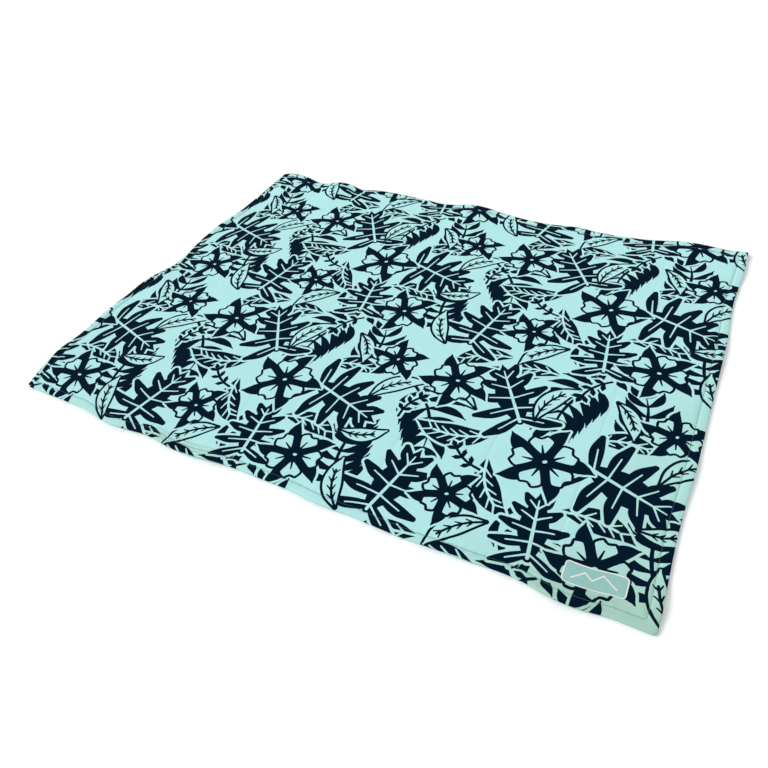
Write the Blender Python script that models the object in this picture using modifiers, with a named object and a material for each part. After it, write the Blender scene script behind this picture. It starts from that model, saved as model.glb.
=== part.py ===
"""Camp blanket, lying open and flat.

The frame: X runs along the long side, Y along the short side with the patch at +X and -Y, and Z up.
The origin is the middle of the underside. All sizes are in metres.
"""

import math

import bmesh
import bpy

# Overall size, edge to edge.
BLANKET_LENGTH = 1.70
BLANKET_WIDTH = 1.30

# The three sheets, and the air left between neighbours.
BACKING_THICKNESS = 0.0016
WADDING_THICKNESS = 0.0050
FACE_THICKNESS = 0.0008
LAYER_GAP = 0.0003

# The edge: the face cloth is folded in over the backing, whose own edge stays just behind the fold.
FOLDED_MARGIN = 0.030
BACKING_SET_BACK = 0.0010

# The hem seam, which runs round all four sides.
HEM_STITCH_INSET = 0.023
HEM_CORNER_RADIUS = 0.004
THREAD_DIAMETER = 0.0005
THREAD_CLEARANCE = 0.0003
CORNER_STEPS = 6
THREAD_BEVEL_STEPS = 2

# The patch in the corner, with its stitched border and its mark.
PATCH_LENGTH = 0.118
PATCH_WIDTH = 0.044
PATCH_THICKNESS = 0.0008
PATCH_CORNER_RADIUS = 0.006
PATCH_FROM_SIDE = 0.068
PATCH_FROM_FRONT = 0.046
BORDER_WIDTH = 0.0024
BORDER_HEIGHT = 0.0013
EMBLEM_HEIGHT = 0.0006
EMBLEM_LINE_WIDTH = 0.0022
EMBLEM_SIDE_SPACE = 0.014
EMBLEM_END_SPACE = 0.009

# The mark is a line of hills: how far along it each point lies and how high, as shares of its box.
EMBLEM_HILLS = [(0.0, 0.0), (0.27, 0.85), (0.45, 0.30), (0.66, 1.0), (1.0, 0.0)]

# Heights that follow from the sheets.
FOLD_BOTTOM = BACKING_THICKNESS + LAYER_GAP
FOLD_TOP = FOLD_BOTTOM + FACE_THICKNESS
WADDING_BOTTOM = BACKING_THICKNESS + LAYER_GAP
WADDING_EDGE_BOTTOM = FOLD_TOP + LAYER_GAP
WADDING_TOP = WADDING_EDGE_BOTTOM + WADDING_THICKNESS
FACE_BOTTOM = WADDING_TOP + LAYER_GAP
FACE_TOP = FACE_BOTTOM + FACE_THICKNESS
PATCH_BOTTOM = FACE_TOP + LAYER_GAP
PATCH_TOP = PATCH_BOTTOM + PATCH_THICKNESS

# The patch's middle.
PATCH_X = BLANKET_LENGTH / 2 - PATCH_FROM_SIDE - PATCH_LENGTH / 2
PATCH_Y = -BLANKET_WIDTH / 2 + PATCH_FROM_FRONT + PATCH_WIDTH / 2

MINT = (0.46, 0.82, 0.80)
NAVY = (0.003, 0.011, 0.026)
WADDING_WHITE = (0.80, 0.82, 0.82)
PATCH_GREY = (0.42, 0.62, 0.60)
THREAD_MINT = (0.34, 0.62, 0.59)
THREAD_WHITE = (0.88, 0.92, 0.91)


def clear_scene():
    """Removes whatever the scene holds."""
    for old in list(bpy.data.objects):
        bpy.data.objects.remove(old, do_unlink=True)


def make_collection(name):
    """A new collection in the scene."""
    made = bpy.data.collections.new(name)
    bpy.context.scene.collection.children.link(made)
    return made


def cloth_material(name, colour, roughness):
    """A plain textile finish."""
    material = bpy.data.materials.new(name)
    material.use_nodes = True
    shader = material.node_tree.nodes["Principled BSDF"]
    shader.inputs["Base Color"].default_value = (*colour, 1.0)
    shader.inputs["Roughness"].default_value = roughness
    shader.inputs["Metallic"].default_value = 0.0
    return material


def adopt(piece, name, collection, material=None):
    """Names a new object and puts it in one collection only."""
    piece.name = name
    piece.data.name = name
    for holder in list(piece.users_collection):
        holder.objects.unlink(piece)
    collection.objects.link(piece)
    if material is not None:
        piece.data.materials.clear()
        piece.data.materials.append(material)
    return piece


def hide_as_cutter(piece):
    """A helper solid, which isn't part of the blanket."""
    piece.hide_render = True
    piece.display_type = "WIRE"


def slab(name, collection, size, bottom, material=None):
    """A flat box of size (length, width, thickness), centred on the origin, with its underside at bottom."""
    bpy.ops.mesh.primitive_cube_add(size=1.0, location=(0.0, 0.0, bottom + size[2] / 2))
    piece = bpy.context.object
    piece.scale = size
    bpy.ops.object.transform_apply(location=False, rotation=False, scale=True)
    return adopt(piece, name, collection, material)


def rounded_outline(length, width, radius):
    """Points round a rectangle with round corners, centred on the origin, anticlockwise."""
    points = []
    corners = [(1, 1, 0), (-1, 1, 90), (-1, -1, 180), (1, -1, 270)]
    for side_x, side_y, start in corners:
        centre_x = side_x * (length / 2 - radius)
        centre_y = side_y * (width / 2 - radius)
        for step in range(CORNER_STEPS + 1):
            angle = math.radians(start + 90 * step / CORNER_STEPS)
            points.append((centre_x + radius * math.cos(angle), centre_y + radius * math.sin(angle)))
    return points


def stroke_outline(line, width):
    """The outline of an open line drawn with a pen of the given width, with mitred bends."""
    left = []
    right = []
    for index, (x, y) in enumerate(line):
        before = line[max(index - 1, 0)]
        after = line[min(index + 1, len(line) - 1)]
        normals = []
        for start, end in ((before, (x, y)), ((x, y), after)):
            run = math.hypot(end[0] - start[0], end[1] - start[1])
            if run > 0:
                normals.append(((start[1] - end[1]) / run, (end[0] - start[0]) / run))
        across = [sum(part) / len(normals) for part in zip(*normals)]
        reach = width / 2 / (across[0] ** 2 + across[1] ** 2)
        left.append((x + across[0] * reach, y + across[1] * reach))
        right.append((x - across[0] * reach, y - across[1] * reach))
    return left + right[::-1]


def flat_piece(name, collection, outlines, bottom, height, place=(0.0, 0.0), material=None):
    """A plate with the given outlines, where a second outline inside the first is a hole."""
    curve = bpy.data.curves.new(name, "CURVE")
    curve.dimensions = "2D"
    curve.fill_mode = "BOTH"
    curve.extrude = height / 2
    for outline in outlines:
        spline = curve.splines.new("POLY")
        spline.points.add(len(outline) - 1)
        for point, (x, y) in zip(spline.points, outline):
            point.co = (x, y, 0.0, 1.0)
        spline.use_cyclic_u = True
    piece = bpy.data.objects.new(name, curve)
    piece.location = (place[0], place[1], bottom + height / 2)
    collection.objects.link(piece)
    if material is not None:
        curve.materials.append(material)
    return piece


def as_mesh(piece, name, collection):
    """Turns a curve object into a closed mesh object in the same place."""
    bpy.context.view_layer.update()
    graph = bpy.context.evaluated_depsgraph_get()
    mesh = bpy.data.meshes.new_from_object(piece.evaluated_get(graph))
    shape = bmesh.new()
    shape.from_mesh(mesh)
    bmesh.ops.remove_doubles(shape, verts=shape.verts, dist=0.00001)
    bmesh.ops.recalc_face_normals(shape, faces=shape.faces)
    shape.to_mesh(mesh)
    shape.free()
    made = bpy.data.objects.new(name, mesh)
    made.matrix_world = piece.matrix_world
    bpy.data.objects.remove(piece, do_unlink=True)
    mesh.name = name
    collection.objects.link(made)
    return made


def combine(piece, other, operation):
    """Cuts another solid out of a piece, or joins it on."""
    boolean = piece.modifiers.new(operation.title(), "BOOLEAN")
    boolean.operation = operation
    boolean.solver = "EXACT"
    boolean.object = other


def seam_outline(spread=0.0):
    """The hem seam's path seen from above, moved out from the blanket's middle by spread."""
    return rounded_outline(
        BLANKET_LENGTH - 2 * HEM_STITCH_INSET + 2 * spread,
        BLANKET_WIDTH - 2 * HEM_STITCH_INSET + 2 * spread,
        HEM_CORNER_RADIUS + spread,
    )


def make_face_cloth(parts):
    """The printed cloth: the top, the fold round the edge and the margin turned in under the wadding."""
    bpy.ops.mesh.primitive_plane_add(size=1.0, location=(0.0, 0.0, 0.0))
    piece = bpy.context.object
    shape = bmesh.new()
    shape.from_mesh(piece.data)
    for vertex in shape.verts:
        vertex.co = (vertex.co.x * BLANKET_LENGTH, vertex.co.y * BLANKET_WIDTH, FACE_TOP)
    rim = [edge for edge in shape.edges if edge.is_boundary]
    wall = bmesh.ops.extrude_edge_only(shape, edges=rim)["geom"]
    for vertex in (item for item in wall if isinstance(item, bmesh.types.BMVert)):
        vertex.co.z = FOLD_BOTTOM
    rim = [edge for edge in shape.edges if edge.is_boundary]
    margin = bmesh.ops.extrude_edge_only(shape, edges=rim)["geom"]
    for vertex in (item for item in margin if isinstance(item, bmesh.types.BMVert)):
        vertex.co.x -= math.copysign(FOLDED_MARGIN, vertex.co.x)
        vertex.co.y -= math.copysign(FOLDED_MARGIN, vertex.co.y)
    bmesh.ops.recalc_face_normals(shape, faces=shape.faces)
    top = max(shape.faces, key=lambda face: face.calc_center_median().z)
    if top.normal.z < 0:
        bmesh.ops.reverse_faces(shape, faces=shape.faces)
    shape.to_mesh(piece.data)
    shape.free()
    thickness = piece.modifiers.new("Cloth thickness", "SOLIDIFY")
    thickness.thickness = FACE_THICKNESS
    thickness.offset = -1.0
    thickness.use_even_offset = True
    return adopt(piece, "face_cloth", parts, cloth_material("printed_cloth", MINT, 0.85))


def make_wadding(parts, cutters):
    """The filling: a sheet over the turned margin, and its middle, which sinks on to the backing."""
    inside_length = BLANKET_LENGTH - 2 * (FACE_THICKNESS + LAYER_GAP)
    inside_width = BLANKET_WIDTH - 2 * (FACE_THICKNESS + LAYER_GAP)
    material = cloth_material("wadding_fibre", WADDING_WHITE, 0.95)
    sheet = slab(
        "wadding", parts, (inside_length, inside_width, WADDING_THICKNESS), WADDING_EDGE_BOTTOM, material
    )
    middle_length = BLANKET_LENGTH - 2 * (FOLDED_MARGIN + LAYER_GAP)
    middle_width = BLANKET_WIDTH - 2 * (FOLDED_MARGIN + LAYER_GAP)
    middle_height = WADDING_TOP - WADDING_BOTTOM - WADDING_THICKNESS / 2
    middle = slab(
        "wadding_middle", cutters, (middle_length, middle_width, middle_height), WADDING_BOTTOM
    )
    hide_as_cutter(middle)
    combine(sheet, middle, "UNION")
    return sheet


def make_backing_cloth(parts, cutters):
    """The plain underside, with the small groove that the hem seam pulls into it."""
    size = (
        BLANKET_LENGTH - 2 * BACKING_SET_BACK,
        BLANKET_WIDTH - 2 * BACKING_SET_BACK,
        BACKING_THICKNESS,
    )
    piece = slab("backing_cloth", parts, size, 0.0, cloth_material("backing_cloth", MINT, 0.95))
    half_groove = THREAD_DIAMETER / 2 + THREAD_CLEARANCE
    depth = THREAD_DIAMETER + THREAD_CLEARANCE
    outlines = [seam_outline(half_groove), seam_outline(-half_groove)]
    ring = flat_piece("seam_groove_ring", cutters, outlines, -depth, 2 * depth)
    groove = as_mesh(ring, "seam_groove", cutters)
    hide_as_cutter(groove)
    combine(piece, groove, "DIFFERENCE")
    return piece


def make_seam_thread(name, parts, height, material):
    """One thread of the hem seam, a closed ring whose middle line lies at the given height."""
    curve = bpy.data.curves.new(name, "CURVE")
    curve.dimensions = "3D"
    curve.bevel_depth = THREAD_DIAMETER / 2
    curve.bevel_resolution = THREAD_BEVEL_STEPS
    curve.use_fill_caps = True
    outline = seam_outline()
    spline = curve.splines.new("POLY")
    spline.points.add(len(outline) - 1)
    for point, (x, y) in zip(spline.points, outline):
        point.co = (x, y, 0.0, 1.0)
    spline.use_cyclic_u = True
    curve.materials.append(material)
    piece = bpy.data.objects.new(name, curve)
    piece.location = (0.0, 0.0, height)
    parts.objects.link(piece)
    return piece


def make_patch(parts):
    """The patch, the satin-stitched border round it and the embroidered line of hills on it."""
    place = (PATCH_X, PATCH_Y)
    flat_piece(
        "corner_patch",
        parts,
        [rounded_outline(PATCH_LENGTH, PATCH_WIDTH, PATCH_CORNER_RADIUS)],
        PATCH_BOTTOM,
        PATCH_THICKNESS,
        place,
        cloth_material("patch_twill", PATCH_GREY, 0.80),
    )
    border = []
    for spread in (LAYER_GAP + BORDER_WIDTH, LAYER_GAP):
        length = PATCH_LENGTH + 2 * spread
        width = PATCH_WIDTH + 2 * spread
        border.append(rounded_outline(length, width, PATCH_CORNER_RADIUS + spread))
    flat_piece(
        "patch_border_thread",
        parts,
        border,
        PATCH_BOTTOM,
        BORDER_HEIGHT,
        place,
        cloth_material("border_thread", THREAD_WHITE, 0.55),
    )
    span = PATCH_LENGTH - 2 * EMBLEM_SIDE_SPACE
    rise = PATCH_WIDTH - 2 * EMBLEM_END_SPACE
    hills = [((along - 0.5) * span, (high - 0.5) * rise) for along, high in EMBLEM_HILLS]
    flat_piece(
        "patch_emblem_thread",
        parts,
        [stroke_outline(hills, EMBLEM_LINE_WIDTH)],
        PATCH_TOP + LAYER_GAP,
        EMBLEM_HEIGHT,
        place,
        cloth_material("emblem_thread", THREAD_WHITE, 0.50),
    )


def build():
    """Makes the whole blanket."""
    clear_scene()
    parts = make_collection("camp_blanket")
    cutters = make_collection("camp_blanket_cutters")
    make_face_cloth(parts)
    make_wadding(parts, cutters)
    make_backing_cloth(parts, cutters)
    seam = cloth_material("seam_thread", THREAD_MINT, 0.60)
    needle_height = FACE_TOP + THREAD_CLEARANCE + THREAD_DIAMETER / 2
    make_seam_thread("hem_needle_thread", parts, needle_height, seam)
    lower_seam = cloth_material("lower_seam_thread", THREAD_MINT, 0.60)
    make_seam_thread("hem_bobbin_thread", parts, THREAD_DIAMETER / 2, lower_seam)
    make_patch(parts)


build()
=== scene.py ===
"""Looks of a camp blanket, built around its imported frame: printed face, wadding, backing, hem and patch.

The blanket lies on a flat floor. Lengths are in metres, except in the print, which is drawn in millimetres.
"""

import math

import bpy
import numpy as np
from bpy.props import FloatProperty, FloatVectorProperty, PointerProperty
from bpy.types import Operator, Panel, PropertyGroup
from mathutils import Euler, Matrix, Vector
from mathutils.geometry import delaunay_2d_cdt


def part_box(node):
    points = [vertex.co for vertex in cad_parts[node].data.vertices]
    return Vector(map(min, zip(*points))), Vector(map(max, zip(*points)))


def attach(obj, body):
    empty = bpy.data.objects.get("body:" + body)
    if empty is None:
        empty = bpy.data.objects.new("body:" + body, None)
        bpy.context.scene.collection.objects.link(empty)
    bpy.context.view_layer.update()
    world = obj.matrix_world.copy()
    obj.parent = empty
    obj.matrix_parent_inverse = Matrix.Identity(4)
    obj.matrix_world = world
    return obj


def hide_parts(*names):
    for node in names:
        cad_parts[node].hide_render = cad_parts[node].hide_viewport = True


bl_info = {
    "name": "Camp Blanket Looks",
    "version": (1, 0, 0),
    "blender": (4, 5, 0),
    "location": "View3D > Sidebar > Camp Blanket",
    "description": "Builds the printed, padded and sewn surfaces of a camp blanket around its frame",
    "category": "Object",
}

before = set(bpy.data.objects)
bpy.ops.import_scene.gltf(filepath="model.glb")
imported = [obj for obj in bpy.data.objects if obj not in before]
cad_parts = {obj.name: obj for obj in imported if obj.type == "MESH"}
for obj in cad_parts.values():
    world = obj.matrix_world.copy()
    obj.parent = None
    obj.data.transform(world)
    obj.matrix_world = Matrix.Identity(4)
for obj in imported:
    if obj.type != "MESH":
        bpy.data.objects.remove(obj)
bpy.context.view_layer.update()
BODY = "root"
MM = 0.001

# what the frame says
FACE_LOW, FACE_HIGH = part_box("face_cloth")
WADDING_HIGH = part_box("wadding")[1]
BACKING_LOW, BACKING_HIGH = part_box("backing_cloth")
NEEDLE_LOW, NEEDLE_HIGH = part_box("hem_needle_thread")
PATCH_LOW, PATCH_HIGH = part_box("corner_patch")
BORDER_LOW, BORDER_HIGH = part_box("patch_border_thread")
EMBLEM_LOW, EMBLEM_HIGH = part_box("patch_emblem_thread")

HALF_LENGTH = FACE_HIGH.x
HALF_WIDTH = FACE_HIGH.y
THREAD = NEEDLE_HIGH.z - NEEDLE_LOW.z
HEM_INSET = HALF_LENGTH - (NEEDLE_HIGH.x - THREAD / 2)
BACKING_TOP = BACKING_HIGH.z
FULL_LOFT = FACE_HIGH.z - FACE_LOW.z

# how the face cloth turns in round the edge
FOLD_RADIUS = 0.0030
EDGE_CORNER = 0.0060
MARGIN = 0.028
MARGIN_HEIGHT = 0.0004
WADDING_GAP = 0.0014

# the sewing: lines beside the hem seam, as distances in from the edge, and the satin stitches of the patch
OUTER_LINE = 0.0130
INNER_LINE = 0.0330
SATIN_PITCH = 0.00046
SATIN_SLANT = math.radians(84)
PATCH_CORNER = 0.006

# what the Wave texture makes of a scale of 1: bands in a metre
BANDS_AT_ONE = 3.1831


def srgb(red, green, blue):
    """A colour given in bytes, as the linear colour that shaders take."""
    shares = [value / 255 for value in (red, green, blue)]
    linear = [s / 12.92 if s <= 0.04045 else ((s + 0.055) / 1.055) ** 2.4 for s in shares]
    return (*linear, 1.0)


def length_property(name, description, default):
    """One length setting, in metres."""
    return FloatProperty(name=name, description=description, default=default, unit="LENGTH")


class BlanketSizes(PropertyGroup):
    """Sizes of what the cloth does and of how it is sewn."""

    wave_height: length_property("Wave Height", "How high the tallest wave lifts the edge", 0.0105)
    bow: length_property("Edge Bow", "How far the edges wander from their straight lines", 0.041)
    fold_count: FloatProperty(
        name="Fold Fields", description="Fields between the packing creases, along the blanket", default=8.0
    )
    crease_depth: length_property("Crease Depth", "Depth of the packing creases at the front edge", 0.0013)
    hem_pinch: length_property("Hem Pinch", "How far the hem seam pulls the padding down", 0.0034)
    stitch_length: length_property("Stitch Length", "Length of one hem stitch, from hole to hole", 0.0036)
    repeat_length: length_property("Print Repeat Along", "Distance between repeats along the blanket", 0.715)
    repeat_width: length_property("Print Repeat Across", "Distance between repeats across the blanket", 0.590)


def colour_property(name, description, default):
    """One colour setting."""
    return FloatVectorProperty(
        name=name, description=description, default=default, subtype="COLOR", size=4, min=0.0, max=1.0
    )


class BlanketColours(PropertyGroup):
    """Colours of cloth, thread and patch."""

    mint: colour_property("Mint", "Ground of the printed face", srgb(174, 226, 226))
    # painted shade: the darker, greener mint that the print's ground takes along the hem, in the hem seam and
    # its lines, and in the front right corner
    mint_painted_shade: colour_property("Mint at the Hem", "Ground of the print close to the edge", srgb(163, 203, 188))
    navy: colour_property("Navy", "Ink of the print", srgb(0, 22, 39))
    backing: colour_property("Backing", "Brushed cloth underneath", srgb(158, 212, 206))
    wadding: colour_property("Wadding", "Fibre filling", srgb(238, 240, 238))
    seam: colour_property("Seam Thread", "Thread of the hem seam", srgb(70, 112, 118))
    patch: colour_property("Patch", "Ground of the corner patch", srgb(146, 196, 189))
    embroidery: colour_property("Embroidery", "Border and picture of the patch", srgb(238, 243, 241))


# ---------------------------------------------------------------- the print, drawn in millimetres

# SPACING lies between the points of a drawn curve, and NIB is the thinnest stroke
SPACING = 6.0
NIB = 3.2
# a thinned outline strays by at most SLACK and has no edge much over LONGEST; areas up to SPECK are dropped
SLACK = 0.25
LONGEST = 18.0
SPECK = 20.0
# the mint rim that keeps a motif apart from what it laps over, and the navy rim of a mint shape
GAP = 6.5


def smooth_line(points, closed=False):
    """Rows on a smooth curve through the given rows, evenly spread between them."""
    rows = np.array(points, float)
    if closed:
        rows = np.concatenate([rows[-1:], rows, rows[:2]])
    else:
        rows = np.concatenate([[2 * rows[0] - rows[1]], rows, [2 * rows[-1] - rows[-2]]])
    line = []
    for before, start, end, after in zip(rows, rows[1:], rows[2:], rows[3:]):
        count = max(2, math.ceil(math.dist(start[:2], end[:2]) / SPACING))
        for t in np.arange(count) / count:
            bend = 2 * before - 5 * start + 4 * end - after
            line.append(start + (end - before) * t / 2 + bend * t * t / 2
                        + (3 * start - before - 3 * end + after) * t**3 / 2)
    if not closed:
        line.append(rows[-2])
    return np.array(line)


def brushed(points):
    """The outline of a brush stroke through rows of x, y and width. Wide ends are round, narrow ones blunt."""
    line = smooth_line(points)
    along = np.gradient(line[:, :2], axis=0)
    along /= np.maximum(np.hypot(along[:, 0], along[:, 1]), 1e-9)[:, None]
    across = np.stack([-along[:, 1], along[:, 0]], axis=1)
    half = np.maximum(line[:, 2:], NIB) / 2
    outline = [*(line[:, :2] + across * half)]
    for end, side, way in ((-1, 1, 1), (0, -1, -1)):
        if end == 0:
            outline += [*(line[::-1, :2] - across[::-1] * half[::-1])]
        for degrees in (60, 30, 0, -30, -60) if half[end, 0] > 4 else (40, -40):
            angle = math.radians(degrees)
            arm = math.cos(angle) * along[end] * way + math.sin(angle) * across[end] * side
            outline.append(line[end, :2] + half[end, 0] * arm)
    return np.array(outline)


def signed_area(outline):
    """The area inside a closed outline, below 0 where it runs clockwise."""
    ends = np.roll(outline, -1, axis=0)
    return float((outline[:, 0] * ends[:, 1] - ends[:, 0] * outline[:, 1]).sum()) / 2


def inset(outline, depth):
    """A closed outline moved inwards by depth."""
    tangent = np.roll(outline, -1, axis=0) - np.roll(outline, 1, axis=0)
    tangent /= np.maximum(np.hypot(tangent[:, 0], tangent[:, 1]), 1e-9)[:, None]
    inwards = np.stack([-tangent[:, 1], tangent[:, 0]], axis=1) * np.sign(signed_area(outline))
    return outline + inwards * depth


def thinned(outline):
    """A closed outline without the points that its neighbours' straight line can stand in for."""
    kept = [outline[0]]
    passed = []
    for here, after in zip(outline[1:], np.roll(outline, -1, axis=0)[1:]):
        passed.append(here)
        chord = after - kept[-1]
        off = np.array(passed) - kept[-1]
        bent = np.abs(chord[0] * off[:, 1] - chord[1] * off[:, 0]).max() > SLACK * math.hypot(*chord)
        if bent or math.hypot(*chord) > LONGEST:
            kept.append(here)
            passed = []
    return np.array(kept)


def polar(centre, degrees, reach):
    """The point at a distance and direction from another one."""
    angle = math.radians(degrees)
    return centre[0] + reach * math.cos(angle), centre[1] + reach * math.sin(angle)


def leaf(foot, tip, width, bow=0.0, foot_width=0.0, fullest=0.5):
    """Stroke rows of a leaf from foot to tip, bent sideways by bow times its length."""
    rows = [(*foot, foot_width)]
    run = (tip[0] - foot[0], tip[1] - foot[1])
    for share, part in ((0.5 * fullest, 0.74), (fullest, 1.0), ((1 + fullest) / 2, 0.70)):
        aside = bow * 4 * share * (1 - share)
        rows.append((foot[0] + run[0] * share - run[1] * aside, foot[1] + run[1] * share + run[0] * aside,
                     width * part))
    return [*rows, (*tip, 0.0)]


class Pen:
    """Collects painted shapes in order: dark ones in navy, light ones in the ground's mint."""

    def __init__(self):
        self.shapes = []

    def dark(self, *strokes):
        """Navy brush strokes."""
        self.shapes += [(True, brushed(rows)) for rows in strokes]

    def light(self, *strokes):
        """Mint brush strokes."""
        self.shapes += [(False, brushed(rows)) for rows in strokes]

    def rimmed(self, outline, rim):
        """A mint shape with a navy line round it."""
        self.shapes.append((True, outline))
        self.shapes.append((False, inset(outline, rim)))


def widened(rows, extra):
    """Stroke rows, each wider by extra."""
    return [(x, y, width + extra) for x, y, width in rows]


def along(line, share):
    """The place on a line of rows at a share of its way, and its heading there in degrees."""
    index = min(round(share * (len(line) - 1)), len(line) - 2)
    step = line[index + 1, :2] - line[index, :2]
    return tuple(line[index, :2]), math.degrees(math.atan2(step[1], step[0]))


def draw_apart(pen, strokes):
    """Navy strokes of one motif, with a mint gap between them and what lies below."""
    pen.light(*[widened(rows, 2 * GAP) for rows in strokes])
    pen.dark(*strokes)


def draw_palm(pen, foot, heading, length, bow, pairs):
    """A palm branch: a thin stem with blades in pairs, longest below its middle."""
    stem = leaf(foot, polar(foot, heading, length), 9, bow, 9)
    line = smooth_line(stem)
    blades = []
    for number in range(pairs):
        share = 0.10 + 0.84 * number / (pairs - 1)
        place, way = along(line, share)
        reach = length * (0.30 + 0.24 * math.sin(math.pi * (0.15 + 0.75 * share)))
        for side in (-1, 1):
            tip = polar(place, way + side * (66 - 34 * share), reach * (1 - 0.30 * share))
            blades.append(leaf(place, tip, length * 0.118, 0.13 * side, 5, 0.52))
    draw_apart(pen, [stem, *blades])


def draw_split_leaf(pen, foot, heading, length):
    """A heart-shaped leaf split from its margin into lobes, with mint veins."""
    tip = polar(foot, heading, length)
    ribs = []
    lobes = [leaf(foot, tip, length * 0.40, 0.0, 20, 0.42)]
    for number in range(5):
        place = polar(foot, heading, length * (0.06 + 0.17 * number))
        reach = length * (0.47, 0.50, 0.44, 0.36, 0.27)[number]
        for side in (-1, 1):
            angle = heading + side * (112 - 18 * number)
            end = polar(place, angle, reach)
            fullest = polar(place, angle + 5 * side, reach * 0.55)
            lobes.append([(*place, length * 0.10), (*fullest, length * 0.155), (*end, length * 0.07)])
            ribs.append([(*place, 5), (*polar(place, angle + 3 * side, reach * 0.62), 3)])
    draw_apart(pen, lobes)
    middle, end = (polar(foot, heading, length * share) for share in (0.5, 0.88))
    pen.light([(*foot, 8), (*middle, 7), (*end, 3)], *ribs)


def draw_blade(pen, foot, heading, length, width, bow, veins):
    """A broad navy leaf with a mint middle rib and slanting side veins."""
    rows = leaf(foot, polar(foot, heading, length), width, bow, 6)
    draw_apart(pen, [rows])
    line = smooth_line(rows)
    pen.light(widened([(x, y, 0) for x, y, _ in rows[:-1]], 6))
    for number in range(veins):
        place, way = along(line, 0.16 + 0.60 * number / (veins - 1))
        for side in (-1, 1):
            pen.light([(*place, 5), (*polar(place, way + 38 * side, width * 0.46), 3)])


def draw_pale_leaf(pen, foot, heading, length, width, bow):
    """A mint leaf with a navy rim, rib and slanting side veins."""
    rows = leaf(foot, polar(foot, heading, length), width, bow)
    pen.dark(widened(rows, 2 * GAP))
    pen.light(rows)
    line = smooth_line(rows)
    pen.dark([(x, y, 6) for x, y, _ in rows[:-1]])
    for number in range(4):
        place, way = along(line, 0.20 + 0.15 * number)
        for side in (-1, 1):
            pen.dark([(*place, 5), (*polar(place, way + 34 * side, width * 0.40), 3)])


def draw_blossom(pen, centre, reach, turn):
    """An open flower: navy leaves behind, notched mint petals, and a navy throat with a mint eye."""
    petals = 5
    step = 360 / petals
    behind = [polar(centre, turn + step * (number + 0.5), reach * 1.42) for number in range(petals)]
    draw_apart(pen, [leaf(centre, tip, reach * 0.50, 0.10, 20, 0.6) for tip in behind])
    profile = ((-0.18, 0.20), (-0.42, 0.56), (-0.40, 0.86), (-0.16, 1.02), (0.0, 0.92), (0.16, 1.02),
               (0.40, 0.86), (0.42, 0.56), (0.18, 0.20))
    for number in range(petals):
        angle = turn + step * number
        outline = [polar(centre, angle + off * step, reach * share) for off, share in profile]
        pen.rimmed(smooth_line(outline, closed=True), GAP)
    for number in range(petals):
        angle = turn + step * number
        widths = ((0.10, reach * 0.13), (0.34, reach * 0.09), (0.62, 3))
        pen.dark([(*polar(centre, angle, reach * share), width) for share, width in widths])
    pen.dark([(*centre, reach * 0.22), (*polar(centre, turn, reach * 0.10), reach * 0.22)])
    pen.light([(*centre, reach * 0.10), (*polar(centre, turn, reach * 0.06), reach * 0.10)])


def draw_sprig(pen, foot, heading, length, bow, pairs):
    """A thin stem with small round leaves in pairs and one at its tip."""
    stem = [(x, y, 7) for x, y, _ in leaf(foot, polar(foot, heading, length), 0, bow)]
    line = smooth_line(stem)
    strokes = [stem]
    for number in range(pairs):
        place, way = along(line, 0.22 + 0.66 * number / (pairs - 1))
        for side in (-1, 1):
            tip = polar(place, way + 52 * side, length * 0.27)
            strokes.append(leaf(place, tip, length * 0.14, 0.0, 5, 0.6))
    place, way = along(line, 1.0)
    strokes.append(leaf(place, polar(place, way, length * 0.24), length * 0.15, 0.0, 6))
    draw_apart(pen, strokes)


def draw_print():
    """All motifs of one repeat. x runs right and y to the back, from the repeat's front left corner."""
    pen = Pen()
    for foot, heading, length, bow, pairs in (
        ((20, 410), 300, 215, 0.12, 7), ((455, 590), 250, 210, -0.12, 7), ((700, 50), 100, 195, 0.10, 7),
        ((560, 415), 92, 180, -0.10, 6), ((345, 130), 318, 170, 0.12, 6),
    ):
        draw_palm(pen, foot, heading, length, bow, pairs)
    for foot, heading, length, width, bow, veins in (
        ((262, 335), 188, 190, 68, 0.14, 6), ((275, 262), 305, 170, 62, -0.14, 5),
        ((330, 20), 200, 165, 58, 0.12, 5), ((470, 190), 352, 160, 60, 0.12, 5),
        ((215, 15), 208, 165, 60, -0.12, 5), ((345, 585), 196, 150, 56, -0.12, 5),
        ((480, 400), 5, 150, 56, 0.14, 5),
    ):
        draw_blade(pen, foot, heading, length, width, bow, veins)
    for foot, heading, length in (((305, 395), 122, 205), ((490, 325), 342, 215), ((85, 30), 78, 200),
                                  ((440, 50), 98, 165)):
        draw_split_leaf(pen, foot, heading, length)
    for foot, heading, length, width, bow in (
        ((335, 415), 62, 155, 46, 0.14), ((190, 395), 172, 145, 44, -0.14), ((640, 335), 40, 150, 46, 0.14),
        ((335, 100), 225, 140, 42, -0.12), ((20, 5), 112, 140, 42, 0.12), ((625, 205), 20, 120, 38, -0.12),
        ((500, 545), 300, 120, 38, 0.12),
    ):
        draw_pale_leaf(pen, foot, heading, length, width, bow)
    for centre, reach, turn in (((110, 470), 72, 12), ((395, 300), 80, 40), ((645, 485), 60, 60),
                                ((228, 135), 60, 20), ((565, 92), 72, 5)):
        draw_blossom(pen, centre, reach, turn)
    for foot, heading, length, bow, pairs in (((25, 300), 70, 90, 0.12, 3), ((470, 20), 235, 100, -0.10, 3),
                                              ((270, 225), 150, 90, 0.10, 3)):
        draw_sprig(pen, foot, heading, length, bow, pairs)
    return pen.shapes


PRINT_START = (0.150, -0.650)


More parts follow.
